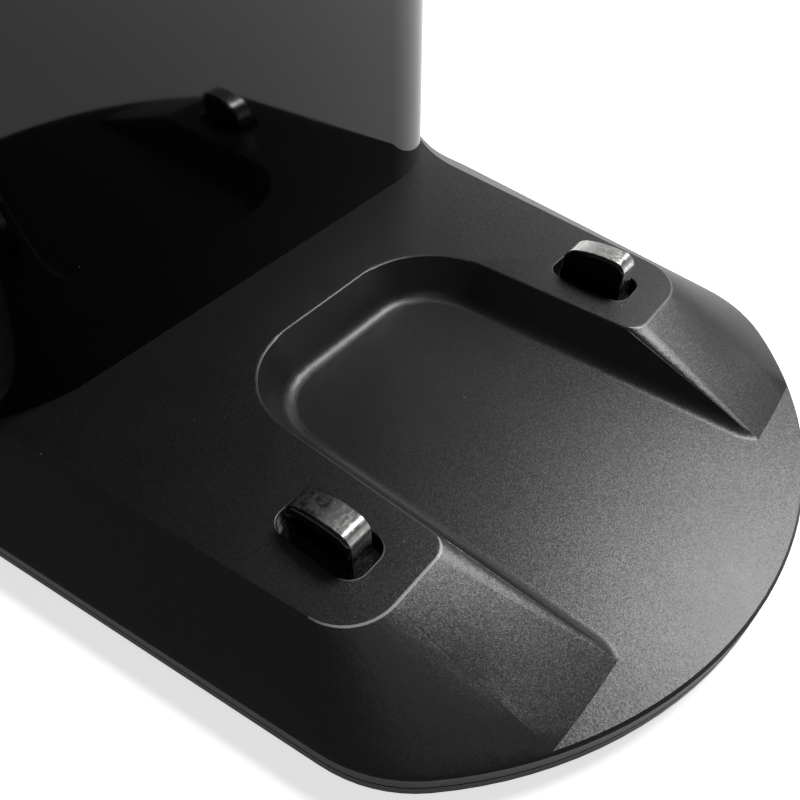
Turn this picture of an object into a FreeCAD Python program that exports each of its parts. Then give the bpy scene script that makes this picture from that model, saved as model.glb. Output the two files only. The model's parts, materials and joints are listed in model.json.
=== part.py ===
import FreeCAD, Part
import os
from math import atan, cos, radians, sin, sqrt, tan

os.makedirs("parts", exist_ok=True)
V = FreeCAD.Vector
UP = V(0, 0, 1)
BACK = V(0, 1, 0)

# A charging dock for a robot vacuum: a low base that the robot rolls on to, and an upright tower behind it.
# Plan sizes are measured from the tower's front face, with X to the right, Y to the back and Z up.
# When the pieces are saved they move along Y, so that the origin is under the middle of the whole dock.

# Overall size
width = 152.0            # across the tower and the back of the base
height = 98.0            # floor to the top of the tower
base_reach = 114.5       # tower front to the front of the rim
tower_depth = 39.0       # tower front to its back

# Heights of the base, each one on top of the last
foot_height = 0.8        # rubber feet below the tray
tray_edge = 2.6          # visible band of the tray
seam = 0.4               # dark line between tray and cover
lip = 3.1                # edge of the cover above that line
pad_rise = 8.2           # pads above the recess floor

# Walls and fits
wall = 2.2               # cover, hood and rear cover
tray_wall = 1.8
clear = 0.2              # between mouldings
slide_gap = 0.3          # round a contact's carrier
seat_gap = 0.02          # under a round piece that lies on a face
flange_gap = 0.1         # over a contact's flange
tiny = 0.001             # for picking edges
aligned = cos(radians(26))  # for picking edges and faces by direction

# Plan of the rim
side_taper = 0.142       # how far each side draws in for each mm forward
taper_start = 3.5        # where that starts, behind the tower front
side_blend_r = 90.0
rim_corner_r = 26.2
front_arc_r = 79.8
rear_corner_r = 4.0
rim_soft = 0.5           # softened upper edge of the rim
tray_chamfer = 0.5

# Pads and ramps
flank = 14.9             # plan width of the sloping side, at the tower front
crest_taper = 0.112      # how far the crest draws in for each mm forward
flare_r = 33.0           # where the crest swings out to the tower's corner
pad_corner_r = 9.4
pad_inner_r = 3.5        # pad's front corner beside the recess
ridge_foot_r = 0.3       # what is left of it at the ramp's foot
apron = 13.0             # floor in front of the ramps, on the middle line
foot_sweep = 0.8         # how far the foot of a ramp is swept back at the rim
ramp_run = 28.9          # plan length of a ramp
crest_soft = 0.2         # plan width of the softened edge along the crest
crest_part = 0.01        # share of the slope that it takes

# Recess for the robot's front caster
pocket_half = 30.2       # half width at the top edge, at its rear corners
pocket_flare = 0.03      # how far each side opens out for each mm forward
pocket_back = 18.0       # rear edge in front of the tower
pocket_corner_r = 18.5
pocket_lean = 30.0       # slope of its walls, in degrees from upright
pocket_fillet = 3.6      # along the foot of its walls
brow_soft = 0.4          # plan width of the softened edge along their top
brow_drop = 0.3          # and its height
toe_r = 5.0              # inner corner at the foot of a ramp
toe_high = 2.4           # height that it is given

# Tower
side_flat = 3.0          # straight side between front and rear corners
hood_fillet = 3.0        # round the top edge
window_margin = 12.0     # hood left round the rear cover, at the sides
window_top = 10.0        # and above it
ledge = 8.0              # rebate that the rear cover lies on, at the sides
ledge_top = 3.0          # and along its top
ledge_depth = 2.0

# Charging contacts
contact_x = 41.8         # from the middle line
contact_setback = 8.5    # behind the pad's front edge
contact_length = 13.9
contact_rise = 7.2       # above the pad
contact_travel = 4.0
front_round = 2.4        # front end of the strip
rear_round = 4.2
contact_arch_r = 24.0    # arch of its top
arch_forward = 2.6       # highest point in front of its middle
strip_width = 4.4
strip_thick = 0.6
strip_proud = 0.25       # strip above the carrier's own surface
channel_gap = 0.05       # in front of and behind the strip, in the carrier's flange
core_width = 5.4
core_edge = 0.5
slot_margin = 1.75       # slot round the contact
slot_corner_r = 3.0
slot_fillet = 0.4
flange_grip = 1.2        # carrier's flange beyond the slot
flange_thick = 1.5
guide_wall = 1.2
foot_gap = 3.0           # between the turned-in ends of a strip
spring_wire = 0.5
spring_radius = 2.75     # middle of the wire
spring_turns = 4
wire_sides = 6           # facets round the spring's wire
terminal_thick = 0.5
terminal_margin = 1.6    # plate round the spring
terminal_lug = 7.0       # from the plate back to the lead
terminal_lug_half = 1.6
post_radius = 1.7
post_height = 1.4

# Electronics
board_thick = 1.6
board_margin = 4.5       # power board beyond the contact leads
board_low = 40.0         # lower edge of the power board
board_top_gap = 4.0      # power board below the top of the rear cover's window
board_stand = 4.0        # power board in front of the rear cover
signal_half = 30.0       # half width of the signal board
signal_top_gap = 8.0     # signal board below the top of the rear cover's window
signal_tall = 28.0
signal_stand = 7.0       # signal board behind the hood's front
emitter_radius = 2.5
emitter_length = 5.5
emitter_pitch = 22.0
status_size = 3.0
pipe_wide = 8.0
pipe_thick = 2.4
pipe_flange = 1.5
lead_radius = 0.8
lead_bend = 6.0
contact_lead_y = 20.0    # where the contact leads climb, behind the tower front
contact_lead_rise = 14.7  # their upper ends above the power board's lower edge
ribbon_wide = 8.0
ribbon_thick = 1.0
part_margin = 1.2        # components above the power board's lower edge
transformer_wide = 24.0
transformer_tall = 20.0
transformer_deep = 15.0
transformer_limb = 6.0
transformer_lift = 5.0   # above the middle of the board
winding_radius = 8.0
bobbin_inset = 2.0
can_round = 0.8          # crimped edge of a capacitor
bulk_radius = 6.5
bulk_length = 15.0
output_radius = 4.0
output_length = 12.0
output_gap = 4.0
choke_size = 12.0
bridge_wide = 9.0
bridge_thick = 3.6
fuse_wide = 5.0
fuse_tall = 5.4
fuse_deep = 8.0
fuse_out = 7.5           # beside a mains lead

# Mains inlet, a two-pole appliance socket
inlet_z = 26.0
inlet_wide = 21.0
inlet_tall = 13.0
inlet_depth = 18.0
inlet_flange = 2.0
inlet_corner_r = 2.0
socket_radius = 3.8
socket_waist = 5.2
socket_depth = 12.0
pin_pitch = 8.6
pin_radius = 1.2
pin_setback = 3.0        # pin tips below the socket's mouth
pin_tail = 4.0           # behind the housing
pin_gap = 0.05
mains_drop = 6.0         # mains leads in front of the pin tails

# Screws, bosses and feet
screw_radius = 1.3
screw_gap = 0.1
hole_gap = 0.3           # where a screw passes through
head_radius = 2.5
head_height = 1.6
head_margin = 1.0        # between a screw's head and a rubber foot
boss_radius = 3.5
boss_merge = 0.7         # hood's bosses run into its wall
boss_height = 12.0
tray_screw_length = 5.5
tower_screw_length = 10.0
board_screw_length = 6.5
front_boss_angle = 64.0  # round the tower's corner, from its side
rear_boss_angle = 12.0
pad_radius = 6.0         # rubber feet
pad_sink = 0.5
pad_chamfer = 0.3

# Levels
z_tray = foot_height
z_tray_floor = z_tray + tray_wall
z_edge = z_tray + tray_edge
z_lip = z_edge + seam
z_floor = z_lip + lip
z_pad = z_floor + pad_rise
z_under = z_pad - wall
z_slab = z_floor - wall
z_soft = z_floor - rim_soft
z_cut_low = z_under - wall
z_cut_high = z_pad + wall

# Plan positions
half = width / 2
foot_reach = base_reach - apron
pad_front = foot_reach - ramp_run
crest_half = half - flank
tower_corner_r = tower_depth - rear_corner_r - side_flat
tower_corner = V(half - tower_corner_r, tower_corner_r, 0)
tower_y = (base_reach - tower_depth) / 2
cover_inset = tray_wall + clear
front_centre = V(0, front_arc_r - base_reach, 0)
pocket_slope = tan(radians(pocket_lean))
pocket_out = V(cos(atan(pocket_flare)), sin(atan(pocket_flare)), 0)
pad_inner_x = pocket_half + pocket_flare * (pad_front - pocket_back - pocket_corner_r)
ridge_foot_x = pad_inner_x + pocket_flare * ramp_run - pad_rise * pocket_slope
contact_y = contact_setback + contact_length / 2 - pad_front
window_half = half - window_margin
window_z = height - window_top
board_tall = window_z - board_top_gap - board_low
signal_low = window_z - signal_top_gap - signal_tall
board_half = contact_x + board_margin
board_back = tower_depth - wall - board_stand
board_front = board_back - board_thick
signal_front = wall + signal_stand
signal_back = signal_front + board_thick


# Outlines are half plans: rows of points from the back, round the right side, to the front.
# Two points are a straight edge, and three are an arc.

def edge(points, z):
    lifted = [V(p.x, p.y, z) for p in points]
    if len(lifted) == 2:
        return Part.LineSegment(*lifted).toShape()
    return Part.Arc(*lifted).toShape()


def mirrored(points):
    return [V(-p.x, p.y, 0) for p in reversed(points)]


def closed_wire(outline, z):
    right = [edge(points, z) for points in outline]
    left = [edge(mirrored(points), z) for points in reversed(outline)]
    return Part.Wire(right + left)


def prism(outline, low, high):
    return Part.Face(closed_wire(outline, low)).extrude(UP * (high - low))


def loft(low_outline, low, high_outline, high):
    return Part.makeLoft([closed_wire(low_outline, low), closed_wire(high_outline, high)], True, True)


def unit(angle):
    return V(cos(radians(angle)), sin(radians(angle)), 0)


def middle(centre, radius, a, b):
    return centre + ((a - centre) + (b - centre)).normalize() * radius


def arc_points(centre, radius, a, b):
    return [a, middle(centre, radius, a, b), b]


def rear_edges(inset):
    """Back edge and rear corner, shared by the rim, the crest and the tower."""
    radius = max(rear_corner_r - inset, clear)
    x = half - inset
    y = tower_depth - inset
    centre = V(x - radius, y - radius, 0)
    start = V(centre.x, y, 0)
    end = V(x, centre.y, 0)
    return [[V(0, y, 0), start], arc_points(centre, radius, start, end)], end


# Directions along and out of the drawn-in side and the crest, and the centres of the arcs that join them
side_lean = atan(side_taper)
side_out = V(cos(side_lean), -sin(side_lean), 0)
side_back = V(sin(side_lean), cos(side_lean), 0)
crest_lean = atan(crest_taper)
crest_out = V(cos(crest_lean), -sin(crest_lean), 0)
crest_back = V(sin(crest_lean), cos(crest_lean), 0)
flare_line = V(crest_half, 0, 0) + crest_out * flare_r
flare_offset = flare_line - tower_corner
flare_back = flare_offset.dot(crest_back)
flare_reach = flare_r + tower_corner_r
flare_slide = flare_back + sqrt(flare_back ** 2 - flare_offset.dot(flare_offset) + flare_reach ** 2)
flare_centre = flare_line - crest_back * flare_slide
flare_in = (flare_centre - tower_corner).normalize()
blend_centre = V(half - side_blend_r, taper_start + side_blend_r * tan(side_lean / 2), 0)
corner_line = V(half, taper_start, 0) - side_out * rim_corner_r
corner_offset = corner_line - front_centre
corner_back = corner_offset.dot(side_back)
corner_reach = front_arc_r - rim_corner_r
corner_slide = corner_back + sqrt(corner_back ** 2 - corner_offset.dot(corner_offset) + corner_reach ** 2)
corner_centre = corner_line - side_back * corner_slide
corner_out = (corner_centre - front_centre).normalize()


def rim_sides(inset, rear_inset):
    edges, side = rear_edges(rear_inset)
    shoulder = V(half - rear_inset, tower_corner.y, 0)
    blend = V(half - inset, blend_centre.y, 0)
    straight = blend_centre + side_out * (side_blend_r - inset)
    corner = corner_centre + side_out * (rim_corner_r - inset)
    front = front_centre + corner_out * (front_arc_r - inset)
    edges.append([side, shoulder])
    edges.append([shoulder, blend])
    edges.append(arc_points(blend_centre, side_blend_r - inset, blend, straight))
    edges.append([straight, corner])
    edges.append(arc_points(corner_centre, rim_corner_r - inset, corner, front))
    return edges, front


def rim(inset, rear_inset):
    edges, front = rim_sides(inset, rear_inset)
    nose = V(0, inset - base_reach, 0)
    return edges + [arc_points(front_centre, front_arc_r - inset, front, nose)]


def skirt_foot(inset, rear_inset):
    """Where the sloping sides and the ramps meet the floor of the base."""
    edges, front = rim_sides(inset, rear_inset)
    radius = front_arc_r - inset
    rise = radius - apron - foot_sweep
    outer = V(sqrt(radius ** 2 - rise ** 2), front_centre.y - rise, 0)
    ridge = V(ridge_foot_x, inset - foot_reach, 0)
    inner = ridge + V(ridge_foot_r, 0, 0)
    run = outer.x - inner.x
    sweep_r = (run ** 2 + foot_sweep ** 2) / (2 * foot_sweep)
    sweep_centre = inner + BACK * sweep_r
    edges.append(arc_points(front_centre, radius, front, outer))
    edges.append(arc_points(sweep_centre, sweep_r, outer, inner))
    edges.append([inner, ridge])
    edges.append([ridge, V(0, ridge.y, 0)])
    return edges


def crest(inset, rear_inset):
    """Top edge of the sloping sides and the ramps."""
    edges, side = rear_edges(rear_inset)
    shoulder_r = tower_corner_r - rear_inset
    shoulder = V(half - rear_inset, tower_corner.y, 0)
    swing = tower_corner + flare_in * shoulder_r
    straight = flare_centre - crest_out * (flare_r + inset)
    pad_y = pad_corner_r - pad_front
    pad_centre = V(crest_half + crest_taper * pad_y - pad_corner_r / cos(crest_lean), pad_y, 0)
    pad_r = pad_corner_r - inset
    outer = pad_centre + crest_out * pad_r
    turn = pad_centre + corner_out * pad_r
    front = pad_centre - BACK * pad_r
    inner = V(pad_inner_x + pad_inner_r, front.y, 0)
    ridge = inner + V(-pad_inner_r, pad_inner_r, 0)
    edges.append([side, shoulder])
    edges.append(arc_points(tower_corner, shoulder_r, shoulder, swing))
    edges.append(arc_points(flare_centre, flare_r + (inset + rear_inset) / 2, swing, straight))
    edges.append([straight, outer])
    edges.append(arc_points(pad_centre, pad_r, outer, turn))
    edges.append(arc_points(pad_centre, pad_r, turn, front))
    edges.append([front, inner])
    edges.append(arc_points(inner + BACK * pad_inner_r, pad_inner_r, inner, ridge))
    edges.append([ridge, V(0, ridge.y, 0)])
    return edges


def between(low, high, share):
    """An outline part of the way from one to another."""
    outline = []
    for a, b in zip(low, high):
        if len(a) == 2 and len(b) == 3:
            a = [a[0], (a[0] + a[1]) / 2, a[1]]
        if len(b) == 2 and len(a) == 3:
            b = [b[0], (b[0] + b[1]) / 2, b[1]]
        outline.append([p + (q - p) * share for p, q in zip(a, b)])
    return outline


def pocket(grow):
    """The caster recess, open at the front and a little wider there."""
    x = pocket_half + grow
    y = grow - pocket_back
    radius = pocket_corner_r + grow
    centre = V(x - radius, y - radius, 0)
    start = V(centre.x, y, 0)
    end = centre + pocket_out * radius
    front = -base_reach - wall
    mouth = V(end.x + (end.y - front) * pocket_flare, front, 0)
    edges = [[V(0, y, 0), start], arc_points(centre, radius, start, end)]
    edges.append([end, mouth])
    edges.append([mouth, V(0, front, 0)])
    return edges


def tower(inset=0.0):
    edges, side = rear_edges(inset)
    start = V(half - inset, tower_corner.y, 0)
    end = V(tower_corner.x, inset, 0)
    edges.append([side, start])
    edges.append(arc_points(tower_corner, tower_corner_r - inset, start, end))
    edges.append([end, V(0, inset, 0)])
    return edges


# Small solids

def block(x0, x1, y0, y1, z0, z1):
    return Part.makeBox(x1 - x0, y1 - y0, z1 - z0, V(x0, y0, z0))


def rounded_block(x, y, wide, long, corner, z0, z1):
    solid = block(x - wide / 2, x + wide / 2, y - long / 2, y + long / 2, z0, z1)
    upright = [e for e in solid.Edges if abs(e.tangentAt(e.FirstParameter).z) > aligned]
    return solid.makeFillet(corner, upright)


def rod(radius, start, direction, length):
    return Part.makeCylinder(radius, length, start, direction)


def both_sides(solid):
    return [solid, solid.mirror(V(0, 0, 0), V(1, 0, 0))]


def level_edges(solid, z):
    return [e for e in solid.Edges if all(abs(v.Z - z) < tiny for v in e.Vertexes)]


def pan_screw(start, direction, length):
    """start is under the head, and direction runs down the shank."""
    head = rod(head_radius, start - direction * head_height, direction, head_height)
    return head.fuse(rod(screw_radius, start, direction, length)).removeSplitter()


def countersunk(start, direction, radius, length):
    """start is the middle of the head's flat face."""
    depth = head_radius - screw_radius
    cone = Part.makeCone(head_radius + radius - screw_radius, radius, depth, start, direction)
    return cone.fuse(rod(radius, start, direction, length)).removeSplitter()


def tube(points, radius, bend):
    """A round lead along straight runs joined by equal bends."""
    edges = []
    start = points[0]
    for before, corner, after in zip(points, points[1:], points[2:]):
        into = (corner - before).normalize()
        out = (after - corner).normalize()
        cut = bend * tan(into.getAngle(out) / 2)
        a = corner - into * cut
        b = corner + out * cut
        centre = a + (out - into * into.dot(out)).normalize() * bend
        edges.append(Part.LineSegment(start, a).toShape())
        edges.append(Part.Arc(a, middle(centre, bend, a, b), b).toShape())
        start = b
    edges.append(Part.LineSegment(start, points[-1]).toShape())
    way = (points[1] - points[0]).normalize()
    section = Part.Wire(Part.makeCircle(radius, points[0], way))
    return Part.Wire(edges).makePipeShell([section], True, False)


def save(name, *solids):
    shape = solids[0] if len(solids) == 1 else Part.makeCompound(list(solids))
    moved = shape.copy()
    moved.translate(BACK * tower_y)
    moved.exportStep("parts/" + name + ".step")
    print(name, "valid" if moved.isValid() else "NOT VALID", len(moved.Solids), round(moved.Volume, 1))


# Fastening points
ramp_middle_y = -(pad_front + foot_reach) / 2
rear_foot = V(half - 2 * pad_radius, tower_depth - pad_radius - wall, 0)
foot_points = [V(0, pad_radius + apron / 2 - base_reach, 0), V(contact_x, contact_y, 0), rear_foot]
foot_to_screw = pad_radius + head_radius + head_margin
tray_screw_points = [V(contact_x, ramp_middle_y, 0), rear_foot - BACK * foot_to_screw]
boss_reach = tower_corner_r - wall - boss_radius + boss_merge
boss_angles = (front_boss_angle, rear_boss_angle)
tower_boss_points = [tower_corner + unit(-angle) * boss_reach for angle in boss_angles]
rear_screw_x = window_half - ledge / 2
rear_screw_points = [V(rear_screw_x, tower_depth, z) for z in (board_low, board_low + board_tall)]
board_screw_x = board_half - boss_radius
board_screw_z = (board_low + boss_radius, board_low + board_tall - boss_radius)
signal_screw_x = signal_half - boss_radius
signal_screw_z = signal_low + signal_tall / 2
opening_half = contact_x + boss_radius
opening_front = contact_lead_y - lead_bend - boss_radius
opening_back = tower_depth - wall - ledge_depth


# Base cover

slot_wide = core_width + 2 * slot_margin
slot_long = contact_length + 2 * slot_margin
flange_wide = slot_wide + 2 * flange_grip
flange_long = slot_long + 2 * flange_grip
guide_x = flange_wide / 2 + slide_gap
guide_y = flange_long / 2 + slide_gap
z_flange = z_under - flange_gap
z_flange_low = z_flange - flange_thick
z_guide = z_flange_low - contact_travel


def pocket_tool(low, high, skin):
    low_grow = (low - z_pad) * pocket_slope + skin
    high_grow = (high - z_pad) * pocket_slope + skin
    return loft(pocket(low_grow), low, pocket(high_grow), high)


def slot_edges(cover):
    """The top edges of the contact slots."""
    picked = []
    for e in level_edges(cover, z_pad):
        x = abs(e.CenterOfMass.x) - contact_x
        y = e.CenterOfMass.y - contact_y
        if abs(x) < slot_wide / 2 + tiny and abs(y) < slot_long / 2 + tiny:
            picked.append(e)
    return picked


def recess_foot(z):
    """The caster recess near its floor, where its walls are led round the foot of each ramp."""
    back, corner, side = pocket((z - z_pad) * pocket_slope)[:3]
    radius = toe_r - (z - z_floor) * pocket_slope
    wall_end = pocket(-pad_rise * pocket_slope)[2][0]
    y = toe_r - foot_reach
    x = wall_end.x + (wall_end.y - y + pocket_out.y * toe_r) * pocket_flare + pocket_out.x * toe_r
    centre = V(x, y, 0)
    toe_start = centre - pocket_out * radius
    toe_end = centre - BACK * radius
    outside = V(half + wall, toe_end.y, 0)
    front = V(half + wall, side[1].y, 0)
    edges = [back, corner, [side[0], toe_start], arc_points(centre, radius, toe_start, toe_end)]
    edges.append([toe_end, outside])
    edges.append([outside, front])
    edges.append([front, V(0, front.y, 0)])
    return edges


def recess_tool():
    foot_top = z_floor + toe_high
    lower = loft(recess_foot(z_floor), z_floor, recess_foot(foot_top), foot_top)
    walls = [e for e in level_edges(lower, z_floor) if e.CenterOfMass.y > -foot_reach - tiny]
    lower = lower.makeFillet(pocket_fillet, walls)
    return lower.fuse(pocket_tool(foot_top, z_cut_high, 0.0)).removeSplitter()


def base_cover():
    foot = skirt_foot(rim_soft, 0.0)
    upper = between(foot, crest(0.0, 0.0), 1 - crest_part)
    z_upper = z_pad - pad_rise * crest_part
    edge_plate = prism(rim(0.0, 0.0), z_lip, z_soft)
    edge_top = loft(rim(0.0, 0.0), z_soft, rim(rim_soft, 0.0), z_floor)
    tongue = prism(rim(cover_inset, cover_inset), z_tray_floor, z_lip)
    slope = loft(foot, z_floor, upper, z_upper)
    plateau = loft(upper, z_upper, crest(crest_soft, 0.0), z_pad)
    body = edge_plate.fuse([edge_top, tongue, slope, plateau]).removeSplitter()
    brow = loft(pocket(-brow_drop * pocket_slope), z_pad - brow_drop, pocket(brow_soft), z_pad)
    skin = pocket_tool(z_slab - wall, z_cut_high, wall / cos(radians(pocket_lean)))
    inside = cover_inset + wall
    deep_inside = inside + clear
    hollow = loft(skirt_foot(deep_inside, deep_inside), z_slab - clear, crest(wall, wall), z_under).cut(skin)
    under = prism(rim(inside, inside), z_tray_floor, z_slab)
    posts = []
    holes = []
    for point in tray_screw_points:
        seat = point + UP * z_tray_floor
        posts.extend(both_sides(rod(boss_radius, seat, UP, pad_rise + z_floor)))
        holes.extend(both_sides(rod(screw_radius + screw_gap, seat, UP, tray_screw_length)))
    cover = body.cut([recess_tool(), brow, hollow.cut(posts), under.cut(posts)])
    for hole in holes:
        cover = cover.cut(hole)
    guide = block(
        contact_x - guide_x - guide_wall, contact_x + guide_x + guide_wall,
        contact_y - guide_y - guide_wall, contact_y + guide_y + guide_wall, z_guide, z_under)
    guide = guide.cut(block(
        contact_x - guide_x, contact_x + guide_x, contact_y - guide_y, contact_y + guide_y, z_guide, z_under))
    slot = rounded_block(contact_x, contact_y, slot_wide, slot_long, slot_corner_r, z_cut_low, z_cut_high)
    for side in both_sides(guide):
        cover = cover.fuse(side)
    for side in both_sides(slot):
        cover = cover.cut(side)
    cover = cover.makeFillet(slot_fillet, slot_edges(cover))
    cover = cover.cut(block(-opening_half, opening_half, opening_front, opening_back, z_cut_low, z_cut_high))
    for point in tower_boss_points:
        hole = rod(screw_radius + hole_gap, V(point.x, point.y, z_cut_low), UP, z_cut_high - z_cut_low)
        for side in both_sides(hole):
            cover = cover.cut(side)
    return cover.removeSplitter()


save("base_cover", base_cover())


# Tray and feet

def bottom_tray():
    plate = prism(rim(0.0, 0.0), z_tray, z_edge)
    plate = plate.makeChamfer(tray_chamfer, level_edges(plate, z_tray))
    tray = plate.cut(prism(rim(tray_wall, tray_wall), z_tray_floor, z_edge))
    post = rod(post_radius, V(contact_x, contact_y, z_tray_floor), UP, post_height)
    tray = tray.fuse(both_sides(post))
    for point in tray_screw_points:
        seat = V(point.x, point.y, z_tray)
        for side in both_sides(countersunk(seat, UP, screw_radius + hole_gap, tray_wall)):
            tray = tray.cut(side)
    for point in foot_points:
        for side in both_sides(rod(pad_radius, V(point.x, point.y, z_tray), UP, pad_sink)):
            tray = tray.cut(side)
    return tray.removeSplitter()


def rubber_feet():
    feet = []
    for point in foot_points:
        foot = rod(pad_radius, point, UP, foot_height + pad_sink)
        foot = foot.makeChamfer(pad_chamfer, level_edges(foot, 0.0))
        feet.extend(both_sides(foot) if point.x else [foot])
    return feet


save("bottom_tray", bottom_tray())
save("rubber_feet", *rubber_feet())
tray_screws = [countersunk(p + UP * z_tray, UP, screw_radius, tray_screw_length) for p in tray_screw_points]
save("tray_screws", *[side for screw in tray_screws for side in both_sides(screw)])


# Tower

def tower_hood():
    outside = prism(tower(), z_pad, height)
    outside = outside.makeFillet(hood_fillet, level_edges(outside, height))
    hood = outside.cut(prism(tower(wall), z_pad, height - wall))
    seat_y = tower_depth - wall
    rebate_top = block(-half, half, seat_y - ledge_depth, seat_y, window_z - ledge_top, height)
    rebate_side = block(window_half - ledge, half, seat_y - ledge_depth, seat_y, z_pad, height)
    hood = hood.fuse([part.common(outside) for part in [rebate_top] + both_sides(rebate_side)])
    hood = hood.cut(block(-window_half, window_half, tower_depth - wall, tower_depth + wall, z_pad, window_z))
    for point in rear_screw_points:
        seat = V(point.x, tower_depth - wall - boss_height / 2, point.z)
        for side in both_sides(rod(boss_radius, seat, BACK, boss_height / 2)):
            hood = hood.fuse(side)
        for side in both_sides(rod(screw_radius + screw_gap, seat, BACK, boss_height / 2)):
            hood = hood.cut(side)
    for point in tower_boss_points:
        seat = V(point.x, point.y, z_pad)
        for side in both_sides(rod(boss_radius, seat, UP, boss_height)):
            hood = hood.fuse(side)
        for side in both_sides(rod(screw_radius + screw_gap, seat, UP, tower_screw_length)):
            hood = hood.cut(side)
    post = V(signal_screw_x, wall, signal_screw_z)
    for side in both_sides(rod(boss_radius, post, BACK, signal_stand)):
        hood = hood.fuse(side)
    for side in both_sides(rod(screw_radius + screw_gap, post, BACK, signal_stand)):
        hood = hood.cut(side)
    hood = hood.cut(pipe_block(clear, height - wall, height))
    return hood


pipe_y = signal_front - status_size / 2


def pipe_block(grow, low, high):
    return block(
        -pipe_wide / 2 - grow, pipe_wide / 2 + grow,
        pipe_y - pipe_thick / 2 - grow, pipe_y + pipe_thick / 2 + grow, low, high)


def inlet_block(grow, front, back):
    solid = block(
        -inlet_wide / 2 - grow, inlet_wide / 2 + grow, front, back,
        inlet_z - inlet_tall / 2 - grow, inlet_z + inlet_tall / 2 + grow)
    along = [e for e in solid.Edges if abs(e.tangentAt(e.FirstParameter).y) > aligned]
    return solid.makeFillet(inlet_corner_r + grow, along)


def rear_cover():
    cover = block(
        clear - window_half, window_half - clear, tower_depth - wall, tower_depth, z_pad, window_z - clear)
    for x in (-board_screw_x, board_screw_x):
        for z in board_screw_z:
            end = V(x, board_back, z)
            cover = cover.fuse(rod(boss_radius, end, BACK, board_stand + wall / 2))
            cover = cover.cut(rod(screw_radius + screw_gap, end, BACK, board_stand + wall / 2))
    for point in rear_screw_points:
        for side in both_sides(countersunk(point, -BACK, screw_radius + hole_gap, wall)):
            cover = cover.cut(side)
    cover = cover.cut(inlet_block(clear, tower_depth - wall, tower_depth))
    return cover.removeSplitter()


save("tower_hood", tower_hood())
save("rear_cover", rear_cover())
tower_shank = wall + tower_screw_length - clear
tower_screws = [pan_screw(p + UP * z_under, UP, tower_shank) for p in tower_boss_points]
save("tower_screws", *[side for screw in tower_screws for side in both_sides(screw)])
rear_screws = [countersunk(p, -BACK, screw_radius, boss_height / 2 + wall - clear) for p in rear_screw_points]
save("rear_screws", *[side for screw in rear_screws for side in both_sides(screw)])


# Contacts

z_contact = z_pad + contact_rise
z_strip_low = z_flange_low - strip_thick
z_terminal = z_tray_floor + terminal_thick


def loaf(inset, low, wide):
    """Side profile of a contact, drawn inset from the strip's outer face and given a width."""
    x = contact_x - wide / 2
    arch = contact_arch_r - inset
    arch_centre = V(x, contact_y - arch_forward, z_contact - contact_arch_r)
    sides = []
    for way, end_round in ((-1, front_round), (1, rear_round)):
        out = way * (contact_length / 2 - end_round) + arch_forward
        up = sqrt((contact_arch_r - end_round) ** 2 - out ** 2)
        centre = arch_centre + V(0, out, up)
        level = centre + BACK * (way * (end_round - inset))
        crown = arch_centre + (centre - arch_centre).normalize() * arch
        foot = V(x, level.y, low)
        sides.append((foot, level, middle(centre, end_round - inset, level, crown), crown))
    (foot_a, level_a, turn_a, crown_a), (foot_b, level_b, turn_b, crown_b) = sides
    profile = Part.Wire([
        Part.LineSegment(foot_a, level_a).toShape(),
        Part.Arc(level_a, turn_a, crown_a).toShape(),
        Part.Arc(crown_a, arch_centre + UP * arch, crown_b).toShape(),
        Part.Arc(crown_b, turn_b, level_b).toShape(),
        Part.LineSegment(level_b, foot_b).toShape(),
        Part.LineSegment(foot_b, foot_a).toShape(),
    ])
    return Part.Face(profile).extrude(V(wide, 0, 0))


def contact_core():
    core = loaf(strip_proud, z_flange, core_width)
    flat_sides = [f for f in core.Faces if abs(f.normalAt(0, 0).x) > aligned]
    around = [e for f in flat_sides for e in f.Edges if e.CenterOfMass.z > z_flange + core_edge]
    core = core.makeFillet(core_edge, around)
    flange = rounded_block(
        contact_x, contact_y, flange_wide, flange_long, slot_corner_r, z_flange_low, z_flange)
    channel = loaf(-channel_gap, z_strip_low, strip_width).cut(loaf(strip_thick, z_strip_low, strip_width))
    return core.fuse(flange).cut(channel).removeSplitter()


def contact_strip():
    strip = loaf(0.0, z_strip_low, strip_width).cut(loaf(strip_thick, z_flange_low, strip_width))
    gap = block(
        contact_x - strip_width, contact_x + strip_width,
        contact_y - foot_gap / 2, contact_y + foot_gap / 2, z_strip_low - clear, z_flange_low)
    return strip.cut(gap)


def contact_spring():
    """A coil with closed flat ends, between the terminal plate and the strip's turned-in ends."""
    low = z_terminal + spring_wire / 2 + seat_gap
    tall = z_strip_low - spring_wire / 2 - seat_gap - low
    coil = Part.makeHelix(tall / spring_turns, tall, spring_radius)
    corners = []
    for index in range(wire_sides + 1):
        spoke = unit(index * 360.0 / wire_sides) * (spring_wire / 2)
        corners.append(V(spring_radius + spoke.x, 0, spoke.y))
    section = Part.makePolygon(corners)
    spring = Part.Wire(coil.Edges).makePipeShell([section], True, True)
    spring.translate(V(contact_x, contact_y, low))
    return spring


def contact_terminal():
    side = spring_radius + terminal_margin
    plate = block(
        contact_x - side, contact_x + side, contact_y - side, contact_y + side, z_tray_floor, z_terminal)
    lug = block(
        contact_x - terminal_lug_half, contact_x + terminal_lug_half,
        contact_y, contact_y + side + terminal_lug, z_tray_floor, z_terminal)
    hole = rod(post_radius + slide_gap, V(contact_x, contact_y, z_tray_floor), UP, terminal_thick)
    return plate.fuse(lug).cut(hole).removeSplitter()


def contact_lead():
    z = z_terminal + lead_radius + seat_gap
    start = contact_y + spring_radius + terminal_margin + terminal_lug / 2
    climb = board_low + contact_lead_rise
    return tube([
        V(contact_x, start, z),
        V(contact_x, contact_lead_y, z),
        V(contact_x, contact_lead_y, climb),
        V(contact_x, board_front, climb),
    ], lead_radius, lead_bend)


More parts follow.
